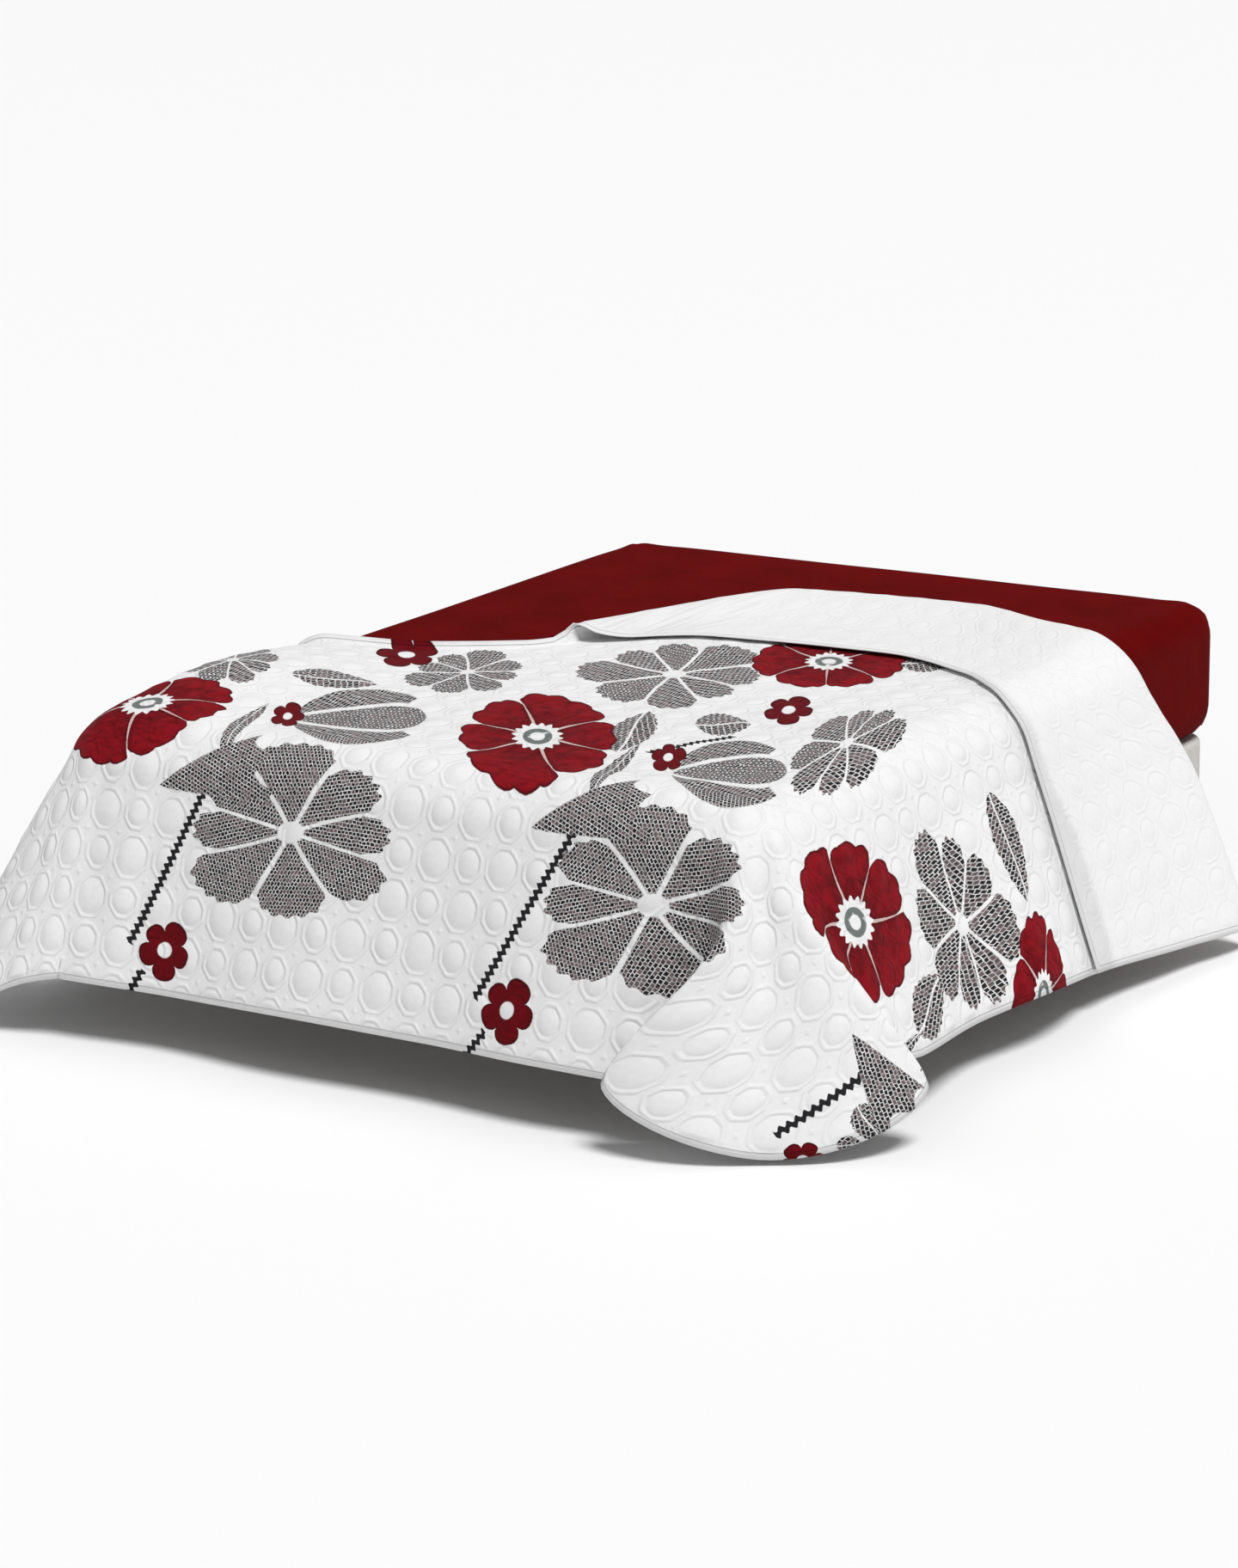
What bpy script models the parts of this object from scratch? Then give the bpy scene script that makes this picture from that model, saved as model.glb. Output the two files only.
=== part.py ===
# A printed quilt laid over a bed, with its head end turned back at the right side.
# Metres, +Z up. The origin is on the floor under the middle of the bed, +Y points to the
# head end, and +X is the right side of the bed as seen from its foot.

import math

import bmesh
import bpy
from mathutils import Vector

# Bed
BED_WIDTH = 1.53
BED_LENGTH = 2.03
BED_TOP = 0.60
MATTRESS_HEIGHT = 0.30
MATTRESS_CORNER = 0.075
MATTRESS_EDGE = 0.065
PLATFORM_HEIGHT = 0.16
PLATFORM_INSET = 0.015
PLATFORM_EDGE = 0.012
PLINTH_INSET = 0.20
PLINTH_EDGE = 0.004
PIECE_GAP = 0.0003

# Quilt
QUILT_THICKNESS = 0.009
REST_GAP = 0.0004
EDGE_INSET = 0.058         # the cloth starts to bend this far inside the mattress edge
BEND_LENGTH = 0.15         # length of cloth in the bend over the edge
CORNER_CUT_RADIUS = 0.26   # the cut corners at the foot are rounded
LEAN_END = 0.30            # the cloth has its full lean this far past the start of the bend
FOLD_START = 0.20          # folds swing out from here down to the hem
CORNER_DROP = 0.58         # length of cloth below the start of the bend at the corners
PLAIN_FLARE = 20.0         # lean of the cloth just below the bend, in degrees from plumb
INNER_HALF_WIDTH = BED_WIDTH / 2 - EDGE_INSET
INNER_HALF_LENGTH = BED_LENGTH / 2 - EDGE_INSET
TOP_MIDDLE = BED_TOP + REST_GAP + QUILT_THICKNESS / 2

# Turned back head end
TURN_RADIUS = 0.020        # of the roll at the crease
TURN_SETTLE = 0.22         # the turned part sinks on to the cloth under it in this length
TIP_LENGTH = 0.030         # cloth past the crease where nothing is turned back
LAYER_GAP = 0.004          # between the turned part and the cloth under it
ROLL_SHARE = 0.8           # the roll takes no more than this of what is turned back
SLOPE_STEP = 0.004         # reach over which the slope of the cloth is read

# The head end, from the left hem to the right hem: crease is the place along the bed where
# the cloth turns back, and free is the place of its free edge. Where they are the same it
# isn't turned back. at is measured along the cloth from the middle of the bed.
HEAD_END = (
    dict(at=-0.72, crease=-0.27, free=-0.27),
    dict(at=-0.32, crease=-0.11, free=-0.11),
    dict(at=0.00, crease=0.49, free=0.12),
    dict(at=0.40, crease=0.53, free=0.15),
    dict(at=0.62, crease=0.45, free=0.07),
    dict(at=0.80, crease=0.41, free=-0.06),
    dict(at=1.02, crease=0.47, free=-0.075),
    dict(at=1.38, crease=0.44, free=-0.10),
)

# Cells of the sheet across the bed: from, to, cells
ACROSS_TOP = (
    dict(start=-INNER_HALF_WIDTH, end=-0.62, cells=2),
    dict(start=-0.62, end=-0.32, cells=3),
    dict(start=-0.32, end=0.02, cells=12),
    dict(start=0.02, end=0.62, cells=5),
    dict(start=0.62, end=INNER_HALF_WIDTH, cells=2),
)
HANG_CELLS = 13            # down each side and down the foot
FOLD_CELLS = 4             # round the corner, from a crest to the next hollow
TOP_ROWS = 10
ROLL_ROWS = 6
TURNED_ROWS = 9

# How the cloth hangs below the bend. Each row is a crest or a hollow of a fold:
# at is the place along the edge, flare the lean out from plumb in degrees, swing the turn
# along the edge in degrees, drop the length of cloth below the start of the bend.
LEFT_SIDE = (
    dict(at=-0.96, flare=10.0, swing=-12.0, drop=0.58),
    dict(at=-0.74, flare=21.0, swing=-3.0, drop=0.58),
    dict(at=-0.58, flare=18.0, swing=3.0, drop=0.58),
    dict(at=-0.40, flare=23.0, swing=-2.0, drop=0.58),
    dict(at=-0.15, flare=19.0, swing=0.0, drop=0.59),
    dict(at=0.50, flare=19.0, swing=0.0, drop=0.59),
)
FOOT = (
    dict(at=-0.71, flare=21.0, swing=0.0, drop=0.58),
    dict(at=-0.45, flare=18.0, swing=2.0, drop=0.575),
    dict(at=-0.15, flare=20.5, swing=-1.0, drop=0.575),
    dict(at=0.15, flare=19.0, swing=0.0, drop=0.575),
    dict(at=0.42, flare=21.0, swing=0.0, drop=0.58),
    dict(at=0.58, flare=19.0, swing=3.0, drop=0.58),
    dict(at=0.71, flare=9.0, swing=12.0, drop=0.58),
)
RIGHT_SIDE = (
    dict(at=-0.96, flare=26.0, swing=3.0, drop=0.58),
    dict(at=-0.80, flare=24.0, swing=-2.0, drop=0.595),
    dict(at=-0.55, flare=20.0, swing=0.0, drop=0.60),
    dict(at=-0.30, flare=24.5, swing=0.0, drop=0.615),
    dict(at=-0.05, flare=21.0, swing=0.0, drop=0.635),
    dict(at=0.25, flare=24.0, swing=0.0, drop=0.675),
    dict(at=0.52, flare=25.0, swing=0.0, drop=0.705),
)
# The corners fan out about the corner of the bed. at is the share of the way from the foot
# round to the side, turn the direction in the plan, in degrees from the foot direction round
# to the side direction, and trim what is added to the length of the rounded cut corner.
RIGHT_CORNER = (
    dict(at=0.00, flare=9.0, turn=12.0, trim=0.0),
    dict(at=0.10, flare=13.0, turn=28.0, trim=0.0),
    dict(at=0.30, flare=28.0, turn=-21.0, trim=-0.050),
    dict(at=0.50, flare=19.0, turn=35.0, trim=-0.022),
    dict(at=0.74, flare=31.0, turn=92.0, trim=0.006),
    dict(at=0.90, flare=26.0, turn=92.0, trim=-0.080),
    dict(at=1.00, flare=26.0, turn=93.0, trim=0.0),
)
LEFT_CORNER = (
    dict(at=0.00, flare=21.0, turn=0.0, trim=0.0),
    dict(at=0.30, flare=25.0, turn=22.0, trim=-0.015),
    dict(at=0.55, flare=30.0, turn=54.0, trim=-0.070),
    dict(at=0.74, flare=24.0, turn=96.0, trim=-0.040),
    dict(at=0.88, flare=14.0, turn=66.0, trim=0.0),
    dict(at=1.00, flare=10.0, turn=78.0, trim=0.0),
)
# Soft mounds where the cloth stands off the bed: middle, reach each way and height
MOUNDS = (
    dict(across=-0.66, along=-0.66, reach_across=0.34, reach_along=0.50, height=0.042),
    dict(across=0.30, along=-0.62, reach_across=0.30, reach_along=0.26, height=0.006),
    dict(across=-0.12, along=-0.45, reach_across=0.26, reach_along=0.34, height=0.005),
    dict(across=0.66, along=-0.45, reach_across=0.22, reach_along=0.40, height=0.010),
    dict(across=-0.20, along=-1.00, reach_across=0.45, reach_along=0.20, height=0.008),
    dict(across=0.48, along=-1.00, reach_across=0.30, reach_along=0.18, height=0.012),
)


def smooth(value):
    """Ease from 0 to 1."""
    value = min(1.0, max(0.0, value))
    return value * value * (3.0 - 2.0 * value)


def slope(rows, index, column):
    """Slope of a table column at a row: none at a crest, a hollow or an end."""
    if index in (0, len(rows) - 1):
        return 0.0
    before, here, after = rows[index - 1:index + 2]
    come = (here[column] - before[column]) / (here["at"] - before["at"])
    leave = (after[column] - here[column]) / (after["at"] - here["at"])
    return 2.0 * come * leave / (come + leave) if come * leave > 0 else 0.0


def between(rows, at, column):
    """Read a column of a fold table at a place, on a smooth curve through its rows."""
    at = min(max(at, rows[0]["at"]), rows[-1]["at"])
    index = next(number for number in range(1, len(rows)) if at <= rows[number]["at"])
    first, last = rows[index - 1], rows[index]
    width = last["at"] - first["at"]
    share = (at - first["at"]) / width
    eased = smooth(share)
    bow = share * (1.0 - share) * width
    return (first[column] + (last[column] - first[column]) * eased
            + bow * (1.0 - share) * slope(rows, index - 1, column)
            - bow * share * slope(rows, index, column))


def cut_reach(rows, angle):
    """Length of cloth from the corner of the bed to the rounded cut corner."""
    trim = between(rows, angle / (math.pi / 2), "trim")
    straight = CORNER_DROP - CORNER_CUT_RADIUS
    lean = min(angle, math.pi / 2 - angle)
    if math.tan(lean) < straight / CORNER_DROP:
        return CORNER_DROP / math.cos(lean) + trim
    middle = math.cos(angle) + math.sin(angle)
    spread = math.cos(angle) - math.sin(angle)
    return straight * middle + math.sqrt(CORNER_CUT_RADIUS ** 2 - (straight * spread) ** 2) + trim


def mound(across, along):
    """Height of the soft mounds at a flat place."""
    height = 0.0
    for row in MOUNDS:
        away = math.hypot((across - row["across"]) / row["reach_across"],
                          (along - row["along"]) / row["reach_along"])
        height += row["height"] * smooth(1.0 - away)
    return height


def hang(start, direction, flare, distance):
    """Point of the cloth at a distance past the start of the bend."""
    turn = math.pi / 2 - math.radians(flare)
    radius = BEND_LENGTH / turn
    bend = min(distance, BEND_LENGTH) / radius
    free = max(0.0, distance - BEND_LENGTH)
    out = radius * math.sin(bend) + free * math.cos(turn)
    down = radius * (1.0 - math.cos(bend)) + free * math.sin(turn)
    return Vector((start[0] + direction[0] * out, start[1] + direction[1] * out, TOP_MIDDLE - down))


def drape(across, along):
    """Middle of the cloth, from flat places measured from the middle of the bed."""
    side = 1.0 if across > 0 else -1.0
    past_side = abs(across) - INNER_HALF_WIDTH
    past_foot = -along - INNER_HALF_LENGTH
    if past_side <= 0 and past_foot <= 0:
        return Vector((across, along, TOP_MIDDLE + mound(across, along)))
    distance = math.hypot(max(past_side, 0.0), max(past_foot, 0.0))
    if past_side <= 0:
        start = (across, -INNER_HALF_LENGTH)
        reach = between(FOOT, across, "drop")
        flare = between(FOOT, across, "flare")
        plain_turn, turn = 0.0, side * between(FOOT, across, "swing")
    elif past_foot <= 0:
        rows = RIGHT_SIDE if side > 0 else LEFT_SIDE
        start = (side * INNER_HALF_WIDTH, along)
        reach = between(rows, along, "drop")
        flare = between(rows, along, "flare")
        plain_turn, turn = 90.0, 90.0 + between(rows, along, "swing")
    else:
        rows = RIGHT_CORNER if side > 0 else LEFT_CORNER
        start = (side * INNER_HALF_WIDTH, -INNER_HALF_LENGTH)
        angle = math.atan2(past_side, past_foot)
        reach = cut_reach(rows, angle)
        share = angle / (math.pi / 2)
        flare = between(rows, share, "flare")
        plain_turn, turn = 90.0 * share, between(rows, share, "turn")
    swung = smooth((distance - FOLD_START) / (reach - FOLD_START))
    flare = PLAIN_FLARE + (flare - PLAIN_FLARE) * smooth(distance / LEAN_END)
    turn = math.radians(plain_turn + (turn - plain_turn) * swung)
    place = hang(start, (side * math.sin(turn), -math.cos(turn)), flare, distance)
    place.z += mound(across, along)
    return place


def outward(across, along):
    """Direction square to the cloth, on its printed side."""
    over = drape(across + SLOPE_STEP, along) - drape(across - SLOPE_STEP, along)
    up = drape(across, along + SLOPE_STEP) - drape(across, along - SLOPE_STEP)
    return over.cross(up).normalized()


def crease(across):
    """Place along the bed where the cloth turns back, and the length of cloth past it."""
    line = between(HEAD_END, across, "crease")
    depth = line - between(HEAD_END, across, "free")
    roll = math.pi * TURN_RADIUS
    length = depth + roll * smooth(depth / (2 * roll))
    return line - TIP_LENGTH * (1.0 - smooth(depth / roll)), max(TIP_LENGTH, length)


def turned(past, length):
    """Step along the bed and height over the cloth at a place past the crease."""
    roll = min(math.pi * TURN_RADIUS, ROLL_SHARE * length)
    turn = roll / TURN_RADIUS
    bent = min(past, roll) / TURN_RADIUS
    free = max(0.0, past - roll)
    step = TURN_RADIUS * math.sin(bent) + free * math.cos(turn)
    height = TURN_RADIUS * (1.0 - math.cos(bent)) + free * math.sin(turn)
    resting = QUILT_THICKNESS + LAYER_GAP
    settled = smooth(free / TURN_SETTLE) * smooth(length / TURN_SETTLE)
    return step, height + (resting - height) * settled


def across_places():
    """Columns of the sheet: share of the drop on a side, or place across the bed."""
    places = [("left", 1.0 - step / HANG_CELLS) for step in range(HANG_CELLS)]
    for stretch in ACROSS_TOP:
        width = (stretch["end"] - stretch["start"]) / stretch["cells"]
        places += [("top", stretch["start"] + width * step) for step in range(stretch["cells"])]
    places.append(("top", INNER_HALF_WIDTH))
    places += [("right", (step + 1) / HANG_CELLS) for step in range(HANG_CELLS)]
    return places


def flat_place(column, along):
    """Flat place of a grid point from the foot edge of the bed to the head end."""
    zone, value = column
    if zone == "top":
        return value, along
    side, rows = (1.0, RIGHT_SIDE) if zone == "right" else (-1.0, LEFT_SIDE)
    return side * (INNER_HALF_WIDTH + value * between(rows, along, "drop")), along


def sheet_point(column, row):
    """Middle of the cloth at a grid point."""
    zone, value = column
    if row < HANG_CELLS:
        distance = (1.0 - row / HANG_CELLS) * between(FOOT, value, "drop")
        return drape(value, -INNER_HALF_LENGTH - distance)
    row -= HANG_CELLS
    place = value
    if zone != "top":
        place = (1.0 if zone == "right" else -1.0) * (INNER_HALF_WIDTH + value * CORNER_DROP)
    line, length = crease(place)
    if row <= TOP_ROWS:
        share = row / TOP_ROWS
        along = -INNER_HALF_LENGTH + (line + INNER_HALF_LENGTH) * share
        return drape(*flat_place(column, along))
    row -= TOP_ROWS
    roll = min(math.pi * TURN_RADIUS, ROLL_SHARE * length)
    past = roll * row / ROLL_ROWS
    if row > ROLL_ROWS:
        past = roll + (length - roll) * (row - ROLL_ROWS) / TURNED_ROWS
    step, height = turned(past, length)
    across, along = flat_place(column, line + step)
    return drape(across, along) + outward(across, along) * height


def material(name, colour, roughness):
    made = bpy.data.materials.new(name)
    made.use_nodes = True
    shader = made.node_tree.nodes["Principled BSDF"]
    shader.inputs["Base Color"].default_value = (*colour, 1.0)
    shader.inputs["Roughness"].default_value = roughness
    shader.inputs["Metallic"].default_value = 0.0
    return made


def place_object(name, mesh, collection, finish):
    made = bpy.data.objects.new(name, mesh)
    mesh.materials.append(finish)
    collection.objects.link(made)
    return made


def rounded_block(name, size, centre, corner, edge, collection, finish):
    """A block with rounded upright corners and softer rims."""
    shape = bmesh.new()
    bmesh.ops.create_cube(shape, size=1.0)
    bmesh.ops.scale(shape, vec=size, verts=shape.verts)
    upright = [side for side in shape.edges
               if abs(side.verts[0].co.z - side.verts[1].co.z) > size[2] / 2]
    bmesh.ops.bevel(shape, geom=upright, offset=corner, offset_type="OFFSET",
                    segments=6, profile=0.5, affect="EDGES")
    rims = [side for side in shape.edges
            if abs(side.verts[0].co.z - side.verts[1].co.z) < 0.001
            and len(side.link_faces) == 2
            and abs(side.link_faces[0].normal.z - side.link_faces[1].normal.z) > 0.5]
    bmesh.ops.bevel(shape, geom=rims, offset=edge, offset_type="OFFSET",
                    segments=4, profile=0.5, affect="EDGES")
    mesh = bpy.data.meshes.new(name)
    shape.to_mesh(mesh)
    shape.free()
    mesh.shade_smooth()
    made = place_object(name, mesh, collection, finish)
    made.location = centre
    return made


def make_base(collection):
    cloth = material("base_cloth", (0.80, 0.78, 0.75), 0.9)
    top = BED_TOP - MATTRESS_HEIGHT - PIECE_GAP
    bottom = top - PLATFORM_HEIGHT
    size = (BED_WIDTH - 2 * PLATFORM_INSET, BED_LENGTH - 2 * PLATFORM_INSET, PLATFORM_HEIGHT)
    rounded_block("bed_platform", size, (0, 0, (top + bottom) / 2), MATTRESS_CORNER,
                  PLATFORM_EDGE, collection, cloth)
    height = bottom - PIECE_GAP
    size = (BED_WIDTH - 2 * PLINTH_INSET, BED_LENGTH - 2 * PLINTH_INSET, height)
    rounded_block("bed_plinth", size, (0, 0, height / 2), MATTRESS_CORNER / 2,
                  PLINTH_EDGE, collection, cloth)


def make_mattress(collection):
    size = (BED_WIDTH, BED_LENGTH, MATTRESS_HEIGHT)
    return rounded_block("mattress", size, (0, 0, BED_TOP - MATTRESS_HEIGHT / 2),
                         MATTRESS_CORNER, MATTRESS_EDGE, collection,
                         material("fitted_sheet", (0.17, 0.004, 0.008), 0.8))


def numbered_grid(shape, columns, rows):
    """Add a flat grid and return each of its points with its column and row."""
    made = bmesh.ops.create_grid(shape, x_segments=columns, y_segments=rows, size=1.0)
    return [(point, round((point.co.x + 1.0) / 2.0 * columns), round((point.co.y + 1.0) / 2.0 * rows))
            for point in made["verts"]]


def corner_fan(shape, rows, side):
    """Add the cloth that fans out from a corner of the bed, between the foot and a side."""
    shares = [first["at"] + (last["at"] - first["at"]) * cell / FOLD_CELLS
              for first, last in zip(rows, rows[1:]) for cell in range(FOLD_CELLS)] + [1.0]
    if side > 0:
        shares.reverse()
    for point, column, row in numbered_grid(shape, len(shares) - 1, HANG_CELLS):
        angle = shares[column] * math.pi / 2
        distance = row / HANG_CELLS * cut_reach(rows, angle)
        point.co = drape(side * (INNER_HALF_WIDTH + distance * math.sin(angle)),
                         -INNER_HALF_LENGTH - distance * math.cos(angle))


def make_quilt(collection):
    columns = across_places()
    shape = bmesh.new()
    spare = []
    for point, column, row in numbered_grid(shape, len(columns) - 1,
                                            HANG_CELLS + TOP_ROWS + ROLL_ROWS + TURNED_ROWS):
        if row < HANG_CELLS and columns[column][0] != "top":
            spare.append(point)
        else:
            point.co = sheet_point(columns[column], row)
    bmesh.ops.delete(shape, geom=spare, context="VERTS")
    corner_fan(shape, RIGHT_CORNER, 1.0)
    corner_fan(shape, LEFT_CORNER, -1.0)
    bmesh.ops.remove_doubles(shape, verts=shape.verts, dist=0.00001)
    mesh = bpy.data.meshes.new("quilt")
    shape.to_mesh(mesh)
    shape.free()
    mesh.shade_smooth()
    made = place_object("quilt", mesh, collection, material("quilted_cotton", (0.86, 0.86, 0.87), 0.85))
    skin = made.modifiers.new("Thickness", "SOLIDIFY")
    skin.thickness = QUILT_THICKNESS
    skin.offset = 0.0
    skin.use_rim = True
    return made


def main():
    for thing in list(bpy.data.objects):
        bpy.data.objects.remove(thing, do_unlink=True)
    collection = bpy.data.collections.new("quilt_on_bed")
    bpy.context.scene.collection.children.link(collection)
    make_base(collection)
    make_mattress(collection)
    make_quilt(collection)


main()
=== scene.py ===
import math

import bmesh
import bpy
import numpy as np
from mathutils import Matrix, Vector


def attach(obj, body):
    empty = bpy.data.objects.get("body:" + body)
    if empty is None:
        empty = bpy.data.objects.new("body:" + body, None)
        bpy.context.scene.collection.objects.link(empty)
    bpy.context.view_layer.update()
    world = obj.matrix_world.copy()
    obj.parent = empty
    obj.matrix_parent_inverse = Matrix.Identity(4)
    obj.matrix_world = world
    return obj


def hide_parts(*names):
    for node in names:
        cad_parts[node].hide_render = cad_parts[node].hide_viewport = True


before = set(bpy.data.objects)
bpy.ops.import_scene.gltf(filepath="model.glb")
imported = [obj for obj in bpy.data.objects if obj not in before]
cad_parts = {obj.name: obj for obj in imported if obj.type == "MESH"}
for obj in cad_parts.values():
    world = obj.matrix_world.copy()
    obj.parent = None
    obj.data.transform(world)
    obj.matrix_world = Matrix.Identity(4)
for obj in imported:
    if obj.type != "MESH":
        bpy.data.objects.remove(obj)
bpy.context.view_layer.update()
print("frame loaded:", sorted(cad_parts))


# sizes that the cloth and the bed share, in metres
bed = {
    "width": 1.53,
    "length": 2.03,
    "top": 0.60,
    "mattressHeight": 0.30,
    "edgeInset": 0.058,       # the cloth starts to bend this far inside the mattress edge
}
halfWidth = bed["width"] / 2 - bed["edgeInset"]
halfLength = bed["length"] / 2 - bed["edgeInset"]


# helpers for shader nodes: each puts its node into the tree of the sockets that it is given

def fillSockets(node, sockets):
    # a socket is given a number, a colour or another node's output
    for name, value in sockets.items():
        if isinstance(value, bpy.types.NodeSocket):
            node.id_data.links.new(value, node.inputs[name])
        else:
            node.inputs[name].default_value = value


def addNode(tree, kind, sockets=None, **settings):
    node = tree.nodes.new(kind)
    for name, value in settings.items():
        setattr(node, name, value)
    fillSockets(node, sockets or {})
    return node


def treeOf(*values):
    # the node tree that a formula's inputs are in
    return next(value.id_data for value in values if isinstance(value, bpy.types.NodeSocket))


def calc(operation, *values):
    sockets = dict(enumerate(values))
    return addNode(treeOf(*values), "ShaderNodeMath", sockets, operation=operation).outputs[0]


def times(first, second):
    return calc("MULTIPLY", first, second)


def plus(first, second):
    return calc("ADD", first, second)


def minus(first, second):
    return calc("SUBTRACT", first, second)


def timesPlus(value, factor, added):
    return calc("MULTIPLY_ADD", value, factor, added)


def absolute(value):
    return calc("ABSOLUTE", value)


def sine(value):
    return calc("SINE", value)


def vectorCalc(operation, *values):
    sockets = dict(enumerate(values))
    return addNode(treeOf(*values), "ShaderNodeVectorMath", sockets, operation=operation).outputs[0]


def lengthOf(vector):
    node = addNode(treeOf(vector), "ShaderNodeVectorMath", {0: vector}, operation="LENGTH")
    return node.outputs["Value"]


def scaled(vector, scale):
    sockets = {0: vector, "Scale": scale}
    return addNode(treeOf(vector, scale), "ShaderNodeVectorMath", sockets, operation="SCALE").outputs[0]


def rotated(vector, angle):
    sockets = {"Vector": vector, "Angle": angle}
    node = addNode(treeOf(vector), "ShaderNodeVectorRotate", sockets, rotation_type="Z_AXIS")
    return node.outputs[0]


def flatPoint(x, y):
    return addNode(treeOf(x, y), "ShaderNodeCombineXYZ", {0: x, 1: y}).outputs[0]


def splitVector(vector):
    node = addNode(treeOf(vector), "ShaderNodeSeparateXYZ", {0: vector})
    return node.outputs[0], node.outputs[1]


def ramp(value, low, high):
    # eases from 0 at low to 1 at high, and the other way round if low is the larger
    ends = (0.0, 1.0) if low < high else (1.0, 0.0)
    sockets = {0: value, 1: min(low, high), 2: max(low, high), 3: ends[0], 4: ends[1]}
    return addNode(treeOf(value), "ShaderNodeMapRange", sockets, interpolation_type="SMOOTHSTEP").outputs[0]


def mixColour(factor, first, second):
    sockets = {0: factor}
    for index, value in ((6, first), (7, second)):
        sockets[index] = value if isinstance(value, bpy.types.NodeSocket) else (*value, 1.0)
    return addNode(treeOf(factor), "ShaderNodeMix", sockets, data_type="RGBA").outputs[2]


def mixVector(factor, first, second):
    sockets = {0: factor, 4: first, 5: second}
    return addNode(treeOf(factor), "ShaderNodeMix", sockets, data_type="VECTOR").outputs[1]


def noise(vector, scale, detail=2.0, output=0):
    sockets = {"Vector": vector, "Scale": scale, "Detail": detail}
    return addNode(treeOf(vector), "ShaderNodeTexNoise", sockets).outputs[output]


def randomValue(value):
    return addNode(treeOf(value), "ShaderNodeTexWhiteNoise", {"W": value}, noise_dimensions="1D").outputs[0]


def newGroup(name, inputs, outputs):
    tree = bpy.data.node_groups.new(name, "ShaderNodeTree")
    for label, kind in inputs:
        tree.interface.new_socket(label, in_out="INPUT", socket_type=kind)
    for label, kind in outputs:
        tree.interface.new_socket(label, in_out="OUTPUT", socket_type=kind)
    return tree.nodes.new("NodeGroupInput").outputs, tree.nodes.new("NodeGroupOutput")


def newMotif(name):
    # a printed motif is given its own coordinates and the cloth's, and says where it is and in what colour
    return newGroup(name, [("Place", vectorSocket), ("Cloth", vectorSocket)],
                    [("Mask", floatSocket), ("Color", colourSocket)])


def finishGroup(result, **values):
    fillSockets(result, values)
    return result.id_data


def useGroup(group, **sockets):
    return addNode(treeOf(*sockets.values()), "ShaderNodeGroup", sockets, node_tree=group).outputs


def addObject(name, data):
    made = bpy.data.objects.new(name, data)
    bpy.context.scene.collection.objects.link(made)
    return made


def newMaterial(name):
    material = bpy.data.materials.new(name)
    material.use_nodes = True
    tree = material.node_tree
    return material, tree, tree.nodes["Principled BSDF"]


def reliefs(tree, coarse, fine):
    # a coarse relief with a fine one on top, each given as the sockets of its bump
    soft = addNode(tree, "ShaderNodeBump", coarse).outputs[0]
    return addNode(tree, "ShaderNodeBump", {**fine, "Normal": soft}).outputs[0]


vectorSocket = "NodeSocketVector"
floatSocket = "NodeSocketFloat"
colourSocket = "NodeSocketColor"


# the weave is shared by the quilt, the fitted sheet and the base

def makeWeave():
    # plain weave of fine threads, with the uneven threads of real cotton
    given, result = newGroup("plainWeave", [("Place", vectorSocket), ("Thread", floatSocket)],
                             [("Height", floatSocket), ("Tint", floatSocket)])
    across, along = splitVector(scaled(given["Place"], calc("DIVIDE", math.pi, given["Thread"])))
    over = times(sine(across), calc("COSINE", along))
    uneven = noise(given["Place"], 90.0, 3.0)
    height = timesPlus(over, 0.5, times(uneven, 0.8))
    return finishGroup(result, Height=height, Tint=timesPlus(over, 0.25, uneven))


weave = makeWeave()


# quilting: puffed circles, a raised ring round each and small puffs between them

quilting = {
    "pitchAcross": 0.078,    # metres from puff to puff
    "pitchAlong": 0.088,
    "bigPuff": 0.40,         # radii, as shares of the pitch
    "smallPuff": 0.30,
    "ring": 0.085,           # width of the raised ring, and how far it stands off its puff
    "ringGap": 0.072,
    "cornerPuff": 0.13,
    "relief": 0.0016,        # metres, the part of each puff that is in the mesh
    "waver": 0.012,          # metres, how far the rows wander
    "dome": 2.6,             # power of a puff's roundness: more is flatter on top
    "eightSided": 0.7,       # how far the ring's outline goes from a circle to eight sides
    "seam": 0.012,
}


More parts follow.
